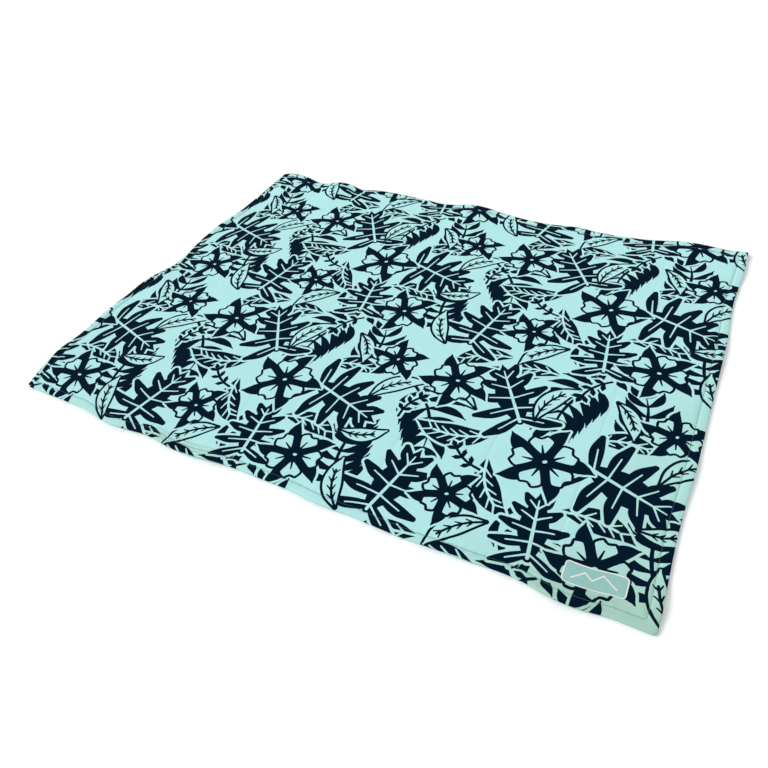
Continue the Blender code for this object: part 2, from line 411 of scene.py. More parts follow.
def print_on_cloth(sizes):
    """Every drawn shape that reaches the cloth, in the order of painting: (is it dark, outline in metres)."""
    repeat = np.array([sizes.repeat_length, sizes.repeat_width])
    limit = np.array([HALF_LENGTH, HALF_WIDTH]) + MARGIN + 0.01
    found = []
    for dark, outline in draw_print():
        shape = thinned(outline) * MM + np.array(PRINT_START)
        for across in range(-2, 2):
            for up in range(-1, 4):
                moved = shape + repeat * (across, up)
                if (moved.min(axis=0) < limit).all() and (moved.max(axis=0) > -limit).all():
                    found.append((dark, moved))
    return found


# ---------------------------------------------------------------- how the blanket lies

# waves along the edges: edge, place along it, half width, share of the wave height, reach inwards
EDGE_WAVES = (
    ("back", -0.785, 0.105, 1.00, 0.20),
    ("back", -0.568, 0.085, 0.90, 0.22),
    ("back", -0.370, 0.130, 0.45, 0.16),
    ("back", -0.015, 0.095, 1.00, 0.26),
    ("back", 0.300, 0.120, 0.25, 0.12),
    ("back", 0.705, 0.105, 0.62, 0.18),
    ("back", 0.850, 0.060, 0.50, 0.10),
    ("front", -0.620, 0.090, 0.28, 0.12),
    ("front", -0.489, 0.060, 0.40, 0.14),
    ("front", -0.188, 0.080, 0.45, 0.16),
    ("front", 0.115, 0.075, 0.40, 0.15),
    ("front", 0.430, 0.090, 0.25, 0.12),
    ("front", 0.680, 0.070, 0.35, 0.12),
    ("left", -0.480, 0.090, 0.35, 0.14),
    ("left", -0.120, 0.110, 0.50, 0.18),
    ("left", 0.270, 0.100, 0.40, 0.15),
    ("right", -0.590, 0.060, 0.45, 0.09),
    ("right", -0.260, 0.110, 0.25, 0.12),
    ("right", 0.150, 0.120, 0.30, 0.12),
    ("right", 0.560, 0.080, 0.40, 0.12),
)

# how the outline wanders from the straight cut: edge, place along it, half width, way outwards
EDGE_BOWS = (
    ("left", -0.190, 0.200, 0.82),
    ("left", -0.380, 0.200, 0.80),
    ("left", -0.545, 0.125, 0.66),
    ("left", 0.180, 0.170, 0.38),
    ("front", -0.505, 0.140, 0.38),
    ("front", -0.270, 0.170, 0.36),
    ("front", 0.130, 0.090, 0.18),
    ("front", 0.320, 0.200, 0.15),
    ("front", 0.560, 0.080, -0.10),
    ("front", 0.685, 0.090, 0.25),
    ("back", -0.790, 0.110, 0.26),
    ("back", -0.655, 0.055, -0.26),
    ("back", -0.560, 0.070, 0.12),
    ("back", -0.470, 0.060, -0.16),
    ("back", -0.150, 0.090, -0.20),
    ("back", 0.200, 0.170, -0.50),
    ("back", 0.330, 0.170, -0.34),
    ("back", 0.490, 0.170, -0.54),
    ("right", 0.380, 0.160, -0.17),
    ("right", -0.420, 0.200, -0.12),
)
BOW_REACH = {"left": 0.55, "right": 0.40, "front": 0.38, "back": 0.34}


def smoothstep(low, high, value):
    """0 up to low and 1 from high on, with a smooth change between. Low may be the greater one."""
    t = np.clip((value - low) / (high - low), 0.0, 1.0)
    return t * t * (3 - 2 * t)


def hump(value, middle, half_width):
    """1 at middle, falling smoothly to 0 at half_width from it."""
    t = np.clip(1 - ((value - middle) / half_width) ** 2, 0.0, 1.0)
    return t * t


def ripples(x, y, seed, shortest, longest, count=12):
    """Soft random relief between about -1 and 1, a sum of plane waves of seeded lengths and directions."""
    rng = np.random.default_rng(seed)
    total = np.zeros_like(x)
    for _ in range(count):
        heading = rng.uniform(0, math.pi)
        number = 2 * math.pi / rng.uniform(shortest, longest)
        phase = rng.uniform(0, 2 * math.pi)
        total += np.sin(number * (x * math.cos(heading) + y * math.sin(heading)) + phase)
    return total / math.sqrt(2 * count)


def edge_distance(x, y):
    """Distance in from the nearest finished edge."""
    return np.minimum(HALF_LENGTH - np.abs(x), HALF_WIDTH - np.abs(y))


def by_edge(x, y):
    """For each edge, the place along it, the distance in from it and the way out of it."""
    return {
        "back": (x, HALF_WIDTH - y, (0, 1)),
        "front": (x, HALF_WIDTH + y, (0, -1)),
        "left": (y, HALF_LENGTH + x, (-1, 0)),
        "right": (y, HALF_LENGTH - x, (1, 0)),
    }


def lift(x, y, sizes):
    """Height of the underside above the floor."""
    height = np.zeros_like(x)
    edges = by_edge(x, y)
    for edge, place, half_width, share, reach in EDGE_WAVES:
        along, inwards, _ = edges[edge]
        narrowed = half_width * (1 - 0.35 * smoothstep(0.0, reach, inwards))
        wave = share * hump(along, place, narrowed) * smoothstep(reach, 0.0, inwards)
        height = np.maximum(height, wave) + 0.25 * np.minimum(height, wave)
    return sizes.wave_height * np.minimum(height, 1.0)


def crease_middle(index, y, sizes):
    """Where a packing crease lies along the blanket's length. It wanders a little on its way to the back."""
    pitch = 2 * HALF_LENGTH / round(sizes.fold_count)
    return -HALF_LENGTH + index * pitch + 0.0025 * np.sin(3.1 * y + index)


def creases(x, y, sizes):
    """Depth of the packing creases, which run across the blanket and are sharpest at the front."""
    depth = np.zeros_like(x)
    for index in range(1, round(sizes.fold_count)):
        strength = 0.45 + 0.55 * smoothstep(0.35, -0.45, y)
        if index in (2, 3, 4):
            strength = strength * 0.6
        depth += strength * np.exp(-np.abs((x - crease_middle(index, y, sizes)) / 0.0032) ** 1.5)
    return sizes.crease_depth * depth * (0.3 + 0.7 * smoothstep(0.012, 0.050, edge_distance(x, y)))


def gathered(x, y):
    """Where the front hem is pushed together into lines along it, from 0 to 1."""
    return smoothstep(-0.56, -0.60, y) * np.maximum(hump(x, -0.28, 0.16), hump(x, 0.70, 0.15))


def hem_lines(x, y):
    """The fine lines beside the hem seam, 1 where they are deepest."""
    inwards = edge_distance(x, y)
    lines = np.exp(-np.abs((inwards - OUTER_LINE) / 0.0017) ** 1.4)
    return lines + np.exp(-np.abs((inwards - INNER_LINE) / 0.0019) ** 1.4)


def hem_relief(x, y, sizes, puckered):
    """How far the hem seam pulls the top down, with the puckers that the stitches draw in the face cloth."""
    inwards = edge_distance(x, y)
    off_seam = inwards - HEM_INSET
    spread = np.where(off_seam < 0, 0.0034, 0.0052)
    groove = np.exp(-np.abs(off_seam / spread) ** 1.25)
    to_side = HALF_LENGTH - np.abs(x)
    to_end = HALF_WIDTH - np.abs(y)
    along = np.where(to_side < to_end, y, x)
    off_corner = smoothstep(0.0, 0.03, np.abs(to_side - to_end))
    beat = np.sin(2 * math.pi * along / 0.0235 + 1.7 * np.sin(11 * along) + 2.3 * np.sin(4.3 * along))
    beat += 0.6 * np.sin(2 * math.pi * along / 0.0137 + 2.1 * np.sin(7 * along))
    puckers = 0.00045 * (beat if puckered else 1.6) * off_corner * np.exp(-((off_seam / 0.013) ** 2))
    slight = 0.0004 * (0.6 + 0.4 * np.sin(9 * along + 1.3)) * smoothstep(0.9, -0.2, y)
    lines = hem_lines(x, y) * (slight + 0.0018 * gathered(x, y)) * off_corner
    rolled = 0.0011 * smoothstep(0.010, 0.0, inwards)
    return sizes.hem_pinch * groove + puckers + lines + rolled


def patch_distance(x, y):
    """Distance from the outline of the patch, below 0 inside it."""
    middle = (PATCH_LOW + PATCH_HIGH) / 2
    half = (PATCH_HIGH - PATCH_LOW) / 2
    out_x = np.abs(x - middle.x) - half.x
    out_y = np.abs(y - middle.y) - half.y
    outside = np.hypot(np.maximum(out_x, 0), np.maximum(out_y, 0))
    return outside + np.minimum(np.maximum(out_x, out_y), 0)


def loft(x, y, sizes, puckered=True):
    """Thickness of wadding and face cloth together."""
    soft = 0.00055 * ripples(x, y, 3, 0.11, 0.32)
    fine = 0.00022 * ripples(x, y, 5, 0.030, 0.075, 16)
    drawn = 0.0009 * np.exp(-((patch_distance(x, y) / 0.006) ** 2))
    open_field = smoothstep(0.0, 0.05, edge_distance(x, y))
    thickness = FULL_LOFT - 0.0008 + (soft + fine) * (0.35 + 0.65 * open_field)
    return thickness - drawn - creases(x, y, sizes) - hem_relief(x, y, sizes, puckered)


def set_out(x, y, sizes):
    """Points of the straight cut moved to where the lying blanket has them."""
    moved = [x + 0.0, y + 0.0]
    for edge, place, half_width, share in EDGE_BOWS:
        along, inwards, way = by_edge(x, y)[edge]
        bow = sizes.bow * share * hump(along, place, half_width) * smoothstep(BOW_REACH[edge], 0.0, inwards)
        moved = [part + bow * side for part, side in zip(moved, way)]
    return moved


def laid_on_top(x, y, above, sizes):
    """Places at a height above the printed face, for points of the straight cut."""
    z = lift(x, y, sizes) + BACKING_TOP + loft(x, y, sizes) + above
    moved_x, moved_y = set_out(x, y, sizes)
    return np.stack([moved_x, moved_y, z], axis=1)


def laid_above_floor(x, y, above, sizes):
    """Places at a height above the underside, for points of the straight cut."""
    moved_x, moved_y = set_out(x, y, sizes)
    return np.stack([moved_x, moved_y, lift(x, y, sizes) + above], axis=1)


# ---------------------------------------------------------------- mesh helpers


def add_piece(name, points, faces, materials, replaced):
    """A mesh object of the blanket that rides with it and stands for a frame node, which it hides."""
    mesh = bpy.data.meshes.new(name)
    mesh.from_pydata([tuple(point) for point in points], [], faces)
    for material in materials:
        mesh.materials.append(material)
    mesh.shade_smooth()
    mesh.validate()
    piece = bpy.data.objects.new(name, mesh)
    bpy.context.scene.collection.objects.link(piece)
    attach(piece, BODY)
    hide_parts(replaced)
    return piece


def stations(half, spacing, fine_places, offsets):
    """Positions from -half to half, evenly spaced and closer together round each fine place."""
    count = round(2 * half / spacing)
    even = [-half + 2 * half * index / count for index in range(count + 1)]
    fine = [place + side * offset for place in fine_places for offset in offsets for side in (-1, 1)]
    fine += list(fine_places)
    fine = [place for place in fine if -half < place < half]
    reach = spacing * 0.3
    kept = [place for place in even[1:-1] if all(abs(place - other) > reach for other in fine)]
    return np.array(sorted([-half, half, *fine, *kept]))


def cloth_grid(half_x, half_y, spacing, sizes):
    """Rows of a grid over the straight cut, closer at the hem seam and at the creases."""
    seams_x = [-(HALF_LENGTH - HEM_INSET), HALF_LENGTH - HEM_INSET]
    seams_y = [-(HALF_WIDTH - HEM_INSET), HALF_WIDTH - HEM_INSET]
    at_seam = (0.0014, 0.003, 0.0055, 0.010, 0.016)
    columns = stations(half_x, spacing, seams_x, at_seam)
    at_rest = [crease_middle(index, 0.0, sizes) for index in range(1, round(sizes.fold_count))]
    folds = stations(half_x, spacing, at_rest, (0.0016, 0.0035, 0.007))
    columns = np.unique(np.round(np.concatenate([columns, folds]), 5))
    columns = columns[np.concatenate([[True], np.diff(columns) > 0.0008])]
    columns[-1] = half_x
    rows = stations(half_y, spacing, seams_y, at_seam)
    return columns, rows


def grid_faces(columns, rows):
    """Quads of a grid whose points run along the columns first."""
    index = np.arange(columns * rows).reshape(rows, columns)
    corners = [index[:-1, :-1], index[:-1, 1:], index[1:, 1:], index[1:, :-1]]
    return np.stack([corner.ravel() for corner in corners], axis=1)


def border_of_grid(columns, rows):
    """Indices of a grid's outer points, in order round it."""
    index = np.arange(columns * rows).reshape(rows, columns)
    return np.concatenate([index[0, :-1], index[:-1, -1], index[-1, :0:-1], index[:0:-1, 0]])


def closed_sheet(columns, rows, top_of, bottom_of):
    """Points and faces of a closed layer between two height functions over a grid."""
    x, y = (part.ravel() for part in np.meshgrid(columns, rows))
    shape = (len(columns), len(rows))
    points = np.concatenate([top_of(x, y), bottom_of(x, y)])
    top = grid_faces(*shape)
    bottom = top[:, ::-1] + len(x)
    ring = border_of_grid(*shape)
    following = np.roll(ring, -1)
    wall = np.stack([ring, ring + len(x), following + len(x), following], axis=1)
    return points, np.concatenate([top, bottom, wall]).tolist()


def rounded_corner(x, y, half_x, half_y, radius):
    """The corners of a rectangle drawn in to quarter circles."""
    across = np.clip((np.abs(x) - (half_x - radius)) / radius, 0, None)
    along = np.clip((np.abs(y) - (half_y - radius)) / radius, 0, None)
    in_corner = (across > 0) & (along > 0)
    pulled_x = across * np.sqrt(np.clip(1 - along**2 / 2, 0.5, 1))
    pulled_y = along * np.sqrt(np.clip(1 - across**2 / 2, 0.5, 1))
    new_x = np.where(in_corner, np.sign(x) * (half_x - radius + radius * pulled_x), x)
    new_y = np.where(in_corner, np.sign(y) * (half_y - radius + radius * pulled_y), y)
    return new_x, new_y


def copies(template, faces, places, headings):
    """Flat copies of a small template, each turned to its heading. Gives x, y, height and faces."""
    cos, sin = np.cos(headings)[:, None], np.sin(headings)[:, None]
    x = places[:, :1] + template[None, :, 0] * cos - template[None, :, 1] * sin
    y = places[:, 1:2] + template[None, :, 0] * sin + template[None, :, 1] * cos
    height = np.broadcast_to(template[None, :, 2], x.shape)
    starts = range(0, len(places) * len(template), len(template))
    all_faces = [[corner + start for corner in face] for start in starts for face in faces]
    return x.ravel(), y.ravel(), height.ravel(), all_faces


def thread_template(length, width, height, sink, rings, sides):
    """A short arched length of thread along x, closed at both ends: its points and faces."""
    points = [(-length / 2, 0.0, -sink)]
    for ring in range(rings):
        share = (ring + 0.5) / rings
        place = (share - 0.5) * length
        swell = math.sin(math.pi * share) ** 0.4
        arch = -sink * (2 * share - 1) ** 2
        for side in range(sides):
            angle = 2 * math.pi * side / sides
            across = width / 2 * swell * math.cos(angle)
            points.append((place, across, arch + height / 2 * swell * math.sin(angle)))
    points.append((length / 2, 0.0, -sink))
    last = len(points) - 1
    faces = []
    for side in range(sides):
        following = (side + 1) % sides
        faces.append([0, 1 + following, 1 + side])
        for ring in range(rings - 1):
            here = 1 + ring * sides
            faces.append([here + side, here + following, here + sides + following, here + sides + side])
        faces.append([last, last - sides + side, last - sides + following])
    return np.array(points), faces


def rounded_path(half_x, half_y, radius, pitch, middle=(0.0, 0.0)):
    """Even places and headings round a rectangle with round corners, anticlockwise, about a pitch apart."""
    straight_x, straight_y = 2 * (half_x - radius), 2 * (half_y - radius)
    quarter = math.pi * radius / 2
    runs = [straight_x, quarter, straight_y, quarter] * 2
    total = sum(runs)
    count = round(total / pitch)
    starts = [
        (-half_x + radius, -half_y, 0),
        (half_x - radius, -half_y, 0),
        (half_x, -half_y + radius, 90),
        (half_x, half_y - radius, 90),
        (half_x - radius, half_y, 180),
        (-half_x + radius, half_y, 180),
        (-half_x, half_y - radius, 270),
        (-half_x, -half_y + radius, 270),
    ]
    places, headings = [], []
    for number in range(count):
        way = total * number / count
        leg = 0
        while way >= runs[leg]:
            way -= runs[leg]
            leg += 1
        x, y, degrees = starts[leg]
        heading = math.radians(degrees)
        if leg % 2 == 0:
            places.append((x + way * math.cos(heading), y + way * math.sin(heading)))
        else:
            turn = way / radius
            centre_x = x - radius * math.sin(heading)
            centre_y = y + radius * math.cos(heading)
            heading += turn
            places.append((centre_x + radius * math.sin(heading), centre_y - radius * math.cos(heading)))
        headings.append(heading)
    return np.array(places) + np.array(middle), np.array(headings)


# ---------------------------------------------------------------- cutting and folding the face cloth


def turns_round(loops, points):
    """How often closed loops turn round each point, anticlockwise turns less clockwise ones."""
    order = np.argsort(points[:, 1])
    x, y = points[order].T
    turns = np.zeros(len(points), int)
    for loop in loops:
        for (x0, y0), (x1, y1) in zip(loop, np.roll(loop, -1, axis=0)):
            low, high = np.searchsorted(y, sorted((y0, y1)))
            side = (x1 - x0) * (y[low:high] - y0) - (x[low:high] - x0) * (y1 - y0)
            turns[low:high] += (side > 0) & (y1 > y0)
            turns[low:high] -= (side < 0) & (y1 < y0)
    found = np.zeros(len(points), int)
    found[order] = turns
    return found


def inside(outline, points):
    """Which points lie inside a closed outline, overlapping loops counted in."""
    return turns_round([outline], points) != 0


def painted(print_shapes, middles):
    """Which places are navy when all shapes are painted in their order."""
    inked = np.zeros(len(middles), bool)
    for dark, shape in print_shapes:
        low, high = shape.min(axis=0), shape.max(axis=0)
        near = np.nonzero(((middles >= low) & (middles <= high)).all(axis=1))[0]
        inked[near[inside(shape, middles[near])]] = dark
    return inked


def navy_borders(print_shapes):
    """The closed borders of the navy that shows, with navy on their left. Specks are dropped."""
    points, edges = [], []
    for _, shape in print_shapes:
        start = len(points)
        points += [Vector(place) for place in (shape / MM).tolist()]
        edges += [(start + k, start + (k + 1) % len(shape)) for k in range(len(shape))]
    found = delaunay_2d_cdt(points, edges, [], 0, 0.02, False)
    flat = np.array([tuple(point) for point in found[0]])
    triangles = np.array(found[2])
    navy = triangles[painted(print_shapes, flat[triangles].mean(axis=1) * MM)]
    sides = set(map(tuple, np.concatenate([navy[:, [0, 1]], navy[:, [1, 2]], navy[:, [2, 0]]]).tolist()))
    after = {}
    for start, end in sorted(side for side in sides if side[::-1] not in sides):
        after.setdefault(start, []).append(end)
    borders = []
    while after:
        first = min(after)
        walk = [first]
        while True:
            ways = after[walk[-1]]
            end = ways.pop()
            if not ways:
                del after[walk[-1]]
            if end == first:
                break
            walk.append(end)
        border = flat[walk]
        if abs(signed_area(border)) > SPECK:
            borders.append(thinned(border) * MM)
    return borders


def margin_outline():
    """The face cloth's flat cut: the finished size, what goes round the edge, and mitred margins."""
    wrap = math.pi * FOLD_RADIUS
    straight_x = HALF_LENGTH - EDGE_CORNER
    straight_y = HALF_WIDTH - EDGE_CORNER
    reach_x = HALF_LENGTH - FOLD_RADIUS + wrap
    reach_y = HALF_WIDTH - FOLD_RADIUS + wrap
    radius = EDGE_CORNER - FOLD_RADIUS + wrap
    corner = [(straight_x - MARGIN, reach_y + MARGIN), (straight_x, reach_y)]
    for step in range(1, 6):
        angle = math.radians(90 - 15 * step)
        corner.append((straight_x + radius * math.cos(angle), straight_y + radius * math.sin(angle)))
    corner += [(reach_x, straight_y), (reach_x + MARGIN, straight_y - MARGIN)]
    corner.reverse()
    turned = [(-x, y) for x, y in reversed(corner)]
    outline = corner + turned + [(-x, -y) for x, y in corner] + [(-x, -y) for x, y in turned]
    return np.array(outline)


def filled_line(corners, spacing):
    """The closed line through the corners with points added, so that none are further apart than spacing."""
    line = []
    for start, end in zip(corners, np.roll(corners, -1, axis=0)):
        count = max(1, math.ceil(math.dist(start, end) / spacing))
        line += [tuple(start + (end - start) * step / count) for step in range(count)]
    return line


def hem_rows():
    """Closed rows of points along the hem seam, where the cloth is puckered, and over the rolled edge."""
    rows = []
    depths = (0.0370, 0.0350, INNER_LINE, 0.0310, 0.0260, 0.0230, 0.0210, 0.0180, 0.0148, OUTER_LINE, 0.0112,
              0.0080)
    for depth in depths:
        rows.append(rounded_path(HALF_LENGTH - depth, HALF_WIDTH - depth, 0.002, 0.0052)[0])
    for share in (-0.25, 0.0, 0.17, 0.33, 0.5, 0.67, 0.83, 1.0, 1.6):
        out = FOLD_RADIUS * (math.pi * share - 1)
        rows.append(rounded_path(HALF_LENGTH + out, HALF_WIDTH + out, EDGE_CORNER + out, 0.010)[0])
    return rows


def crease_rows(sizes):
    """Open rows of points along the packing creases."""
    places = np.linspace(HALF_WIDTH - 0.040, 0.040 - HALF_WIDTH, 90)
    rows = []
    for index in range(1, round(sizes.fold_count)):
        for aside in (-0.0065, -0.0022, 0.0, 0.0022, 0.0065):
            rows.append(np.stack([crease_middle(index, places, sizes) + aside, places], axis=1))
    return rows


def printed_triangles(print_shapes, sizes):
    """The flat face cloth cut along the print: its points, its triangles and which of them are inked."""
    outline = margin_outline()
    columns = np.linspace(0.043 - HALF_LENGTH, HALF_LENGTH - 0.043, 108)
    rows = np.linspace(0.043 - HALF_WIDTH, HALF_WIDTH - 0.043, 82)
    points = [(x, y) for y in rows for x in columns]
    edges = []

    def follow(line, closed=True):
        """Adds a line that the triangles have to follow."""
        start = len(points)
        points.extend(tuple(point) for point in line)
        edges.extend((start + k, start + k + 1) for k in range(len(line) - 1))
        if closed:
            edges.append((start + len(line) - 1, start))

    follow(filled_line(outline, 0.010))
    for row in hem_rows():
        follow(row)
    for row in crease_rows(sizes):
        follow(row, closed=False)
    borders = navy_borders(print_shapes)
    for border in borders:
        follow(border)
    scaled = [Vector((x / MM, y / MM)) for x, y in points]
    found = delaunay_2d_cdt(scaled, edges, [], 0, 0.02, False)
    flat = np.array([tuple(point) for point in found[0]]) * MM
    triangles = np.array(found[2])
    middles = flat[triangles].mean(axis=1)
    keep = inside(outline, middles)
    triangles, middles = triangles[keep], middles[keep]
    first, second, third = (flat[triangles[:, k]] for k in range(3))
    side, other = second - first, third - first
    whole = side[:, 0] * other[:, 1] - side[:, 1] * other[:, 0] > 1e-10
    triangles, middles = triangles[whole], middles[whole]
    used, triangles = np.unique(triangles, return_inverse=True)
    triangles = triangles.reshape(-1, 3)
    inked = turns_round(borders, middles) > 0
    return flat[used], triangles, inked


def folded(flat, sizes):
    """The flat face cloth laid over the wadding, with its margin turned in under it."""
    core = np.array([HALF_LENGTH - EDGE_CORNER, HALF_WIDTH - EDGE_CORNER])
    radius = EDGE_CORNER - FOLD_RADIUS
    signs = np.where(flat < 0, -1.0, 1.0)
    beyond = np.abs(flat) - core
    outside = np.maximum(beyond, 0)
    length = np.hypot(outside[:, 0], outside[:, 1])
    way = outside / np.maximum(length, 1e-9)[:, None]
    past = length - radius
    rolled = past > 0
    turn = np.clip(past / FOLD_RADIUS, 0, math.pi)
    back = np.maximum(past - math.pi * FOLD_RADIUS, 0)
    reach = radius + FOLD_RADIUS * np.sin(turn) - back
    plan = np.where(rolled[:, None], signs * (np.abs(flat) - outside + way * reach[:, None]), flat)
    x, y = plan[:, 0], plan[:, 1]
    share = np.where(rolled, (1 - np.cos(turn)) / 2, 0.0)
    top = laid_on_top(x, y, 0.0, sizes)
    under = laid_above_floor(x, y, BACKING_TOP + MARGIN_HEIGHT, sizes)
    return top + (under - top) * share[:, None]


# ---------------------------------------------------------------- materials


def node(tree, kind, inputs=None, **settings):
    """A shader node with its settings, and its inputs linked to sockets or set to values."""
    made = tree.nodes.new(kind)
    for name, value in settings.items():
        setattr(made, name, value)
    for name, value in (inputs or {}).items():
        if isinstance(value, bpy.types.NodeSocket):
            tree.links.new(value, made.inputs[name])
        else:
            made.inputs[name].default_value = value
    return made


def maths(tree, operation, first, second=0.0, third=0.0):
    """The result socket of a Math node."""
    return node(tree, "ShaderNodeMath", {0: first, 1: second, 2: third}, operation=operation).outputs[0]


def noise(tree, place, scale, detail=2.0, roughness=0.5):
    """The value of a noise texture, from 0 to 1, with its mean at one half."""
    inputs = {"Vector": place, "Scale": scale, "Detail": detail, "Roughness": roughness}
    return node(tree, "ShaderNodeTexNoise", inputs).outputs["Fac"]


def bands(tree, place, direction, threads_per_metre):
    """Parallel threads as a sine from 0 to 1 across the X, Y or DIAGONAL direction."""
    inputs = {"Vector": place, "Scale": threads_per_metre / BANDS_AT_ONE, "Distortion": 0.0}
    settings = {"wave_type": "BANDS", "bands_direction": direction, "wave_profile": "SIN"}
    return node(tree, "ShaderNodeTexWave", inputs, **settings).outputs["Fac"]


def mixed(tree, share, first, second):
    """A colour between two others, by share."""
    made = node(tree, "ShaderNodeMix", data_type="RGBA")
    for index, value in ((0, share), (6, first), (7, second)):
        if isinstance(value, bpy.types.NodeSocket):
            tree.links.new(value, made.inputs[index])
        else:
            made.inputs[index].default_value = value
    return made.outputs[2]


def shaded(colour, factor):
    """A colour made lighter or darker by a factor."""
    return (*(min(1.0, channel * factor) for channel in colour[:3]), 1.0)


def new_material(name, roughness, sheen=0.0, sheen_roughness=0.5, specular=0.3):
    """A material with its tree, its shader and the place on the unmoved piece."""
    material = bpy.data.materials.new(name)
    material.use_nodes = True
    tree = material.node_tree
    shader = next(made for made in tree.nodes if made.type == "BSDF_PRINCIPLED")
    shader.inputs["Roughness"].default_value = roughness
    shader.inputs["Sheen Weight"].default_value = sheen
    shader.inputs["Sheen Roughness"].default_value = sheen_roughness
    shader.inputs["Specular IOR Level"].default_value = specular
    place = node(tree, "ShaderNodeTexCoord").outputs["Object"]
    return material, tree, shader, place


def finish_surface(tree, shader, colour, roughness, height, distance, strength=1.0):
    """Links colour, roughness and bump to the shader."""
    tree.links.new(colour, shader.inputs["Base Color"])
    tree.links.new(roughness, shader.inputs["Roughness"])
    bump = node(tree, "ShaderNodeBump", {"Height": height, "Distance": distance, "Strength": strength})
    tree.links.new(bump.outputs["Normal"], shader.inputs["Normal"])


def plain_weave(tree, place, threads_per_metre):
    """Height of a plain weave: threads that cross over and under each other."""
    warp = bands(tree, place, "X", threads_per_metre)
    weft = bands(tree, place, "Y", threads_per_metre)
    crossed = maths(tree, "MULTIPLY", warp, weft)
    other = maths(tree, "MULTIPLY", maths(tree, "SUBTRACT", 1.0, warp), maths(tree, "SUBTRACT", 1.0, weft))
    return maths(tree, "MAXIMUM", crossed, other)


def printed_cloth(name, colour, painted_shade_colour, specular, sheen):
    """Matte peach-finish weave with a soft crinkle, a faint mottle and painted shade: a darker, greener tone
    close to the hem, in its seam and lines, and in the front right corner.
    """
    material, tree, shader, place = new_material(name, 0.86, sheen, 0.45, specular)
    mottle = noise(tree, place, 14.0, 3.0)
    grain = noise(tree, place, 900.0, 2.0, 0.7)
    painted_shade = node(tree, "ShaderNodeAttribute", attribute_name="painted_shade").outputs["Fac"]
    # painted shade: the tone moves towards the darker, greener shade colour where the stored amount is high
    lighter_with_painted_shade = mixed(tree, painted_shade, shaded(colour, 1.03), shaded(painted_shade_colour, 1.03))
    darker = mixed(tree, painted_shade, shaded(colour, 0.91), shaded(painted_shade_colour, 0.89))
    share = maths(tree, "MULTIPLY_ADD", mottle, 0.55, maths(tree, "MULTIPLY", grain, 0.45))
    toned = mixed(tree, share, darker, lighter_with_painted_shade)
    roughness = maths(tree, "MULTIPLY_ADD", mottle, 0.12, 0.80)
    weave = plain_weave(tree, place, 1400.0)
    slubs = noise(tree, place, 420.0, 3.0, 0.6)
    crinkle = noise(tree, place, 75.0, 4.0, 0.55)
    height = maths(tree, "MULTIPLY_ADD", crinkle, 5.0, maths(tree, "MULTIPLY_ADD", slubs, 0.8, weave))
    finish_surface(tree, shader, toned, roughness, height, 0.00016)
    return material


def brushed_cloth(name, colour):
    """Brushed backing: short nap laid in soft streaks over a fine knit."""
    material, tree, shader, place = new_material(name, 0.95, 0.35, 0.6, 0.2)
    streaks = node(tree, "ShaderNodeMapping", {"Vector": place, "Scale": (60.0, 260.0, 60.0)}).outputs[0]
    nap = noise(tree, streaks, 1.0, 5.0, 0.65)
    tufts = noise(tree, place, 700.0, 3.0, 0.6)
    patches = noise(tree, place, 9.0, 2.0)
    share = maths(tree, "MULTIPLY_ADD", nap, 0.6, maths(tree, "MULTIPLY", patches, 0.4))
    toned = mixed(tree, share, shaded(colour, 0.86), shaded(colour, 1.04))
    roughness = maths(tree, "MULTIPLY_ADD", nap, 0.08, 0.88)
    height = maths(tree, "MULTIPLY_ADD", nap, 1.5, tufts)
    finish_surface(tree, shader, toned, roughness, height, 0.0004)
    return material


def fibre_filling(name, colour):
    """White polyester wadding: crossed, tangled fibres."""
    material, tree, shader, place = new_material(name, 0.95, 0.2, 0.5, 0.25)
    along = node(tree, "ShaderNodeMapping", {"Vector": place, "Scale": (90.0, 900.0, 300.0)}).outputs[0]
    across = node(tree, "ShaderNodeMapping", {"Vector": place, "Scale": (900.0, 120.0, 300.0)}).outputs[0]
    tangle = maths(tree, "MAXIMUM", noise(tree, along, 1.0, 4.0, 0.6), noise(tree, across, 1.0, 4.0, 0.6))
    toned = mixed(tree, tangle, shaded(colour, 0.82), colour)
    roughness = maths(tree, "MULTIPLY_ADD", tangle, 0.1, 0.86)
    finish_surface(tree, shader, toned, roughness, tangle, 0.0008)
    return material


def spun_thread(name, colour, twist=1500.0, sheen=0.25):
    """Twisted polyester thread with fine plies and a slight gloss."""
    material, tree, shader, place = new_material(name, 0.5, sheen, 0.35, 0.5)
    plies = bands(tree, place, "DIAGONAL", twist)
    fuzz = noise(tree, place, 2600.0, 2.0)
    toned = mixed(tree, maths(tree, "MULTIPLY_ADD", plies, 0.6, maths(tree, "MULTIPLY", fuzz, 0.4)),
                  shaded(colour, 0.80), colour)
    roughness = maths(tree, "MULTIPLY_ADD", fuzz, 0.2, 0.42)
    finish_surface(tree, shader, toned, roughness, plies, 0.00006)
    return material


def twill_cloth(name, colour):
    """Patch ground: a close diagonal twill."""
    material, tree, shader, place = new_material(name, 0.7, 0.2, 0.4, 0.4)
    ribs = bands(tree, place, "DIAGONAL", 1250.0)
    threads = bands(tree, place, "X", 2600.0)
    uneven = noise(tree, place, 120.0, 3.0)
    share = maths(tree, "MULTIPLY_ADD", ribs, 0.6, maths(tree, "MULTIPLY", uneven, 0.4))
    toned = mixed(tree, share, shaded(colour, 0.78), shaded(colour, 1.05))
    roughness = maths(tree, "MULTIPLY_ADD", ribs, 0.12, 0.62)
    finish_surface(tree, shader, toned, roughness, maths(tree, "MULTIPLY_ADD", threads, 0.3, ribs), 0.00018)
    return material


def studio_floor(name, colour):
    """Smooth pale studio floor with the faintest unevenness."""
    material, tree, shader, place = new_material(name, 0.9, 0.0, 0.5, 0.1)
    drift = noise(tree, place, 1.3, 2.0)
    toned = mixed(tree, drift, shaded(colour, 0.985), colour)
    roughness = maths(tree, "MULTIPLY_ADD", drift, 0.05, 0.88)
    finish_surface(tree, shader, toned, roughness, drift, 0.0005, 0.2)
    return material


# ---------------------------------------------------------------- pieces


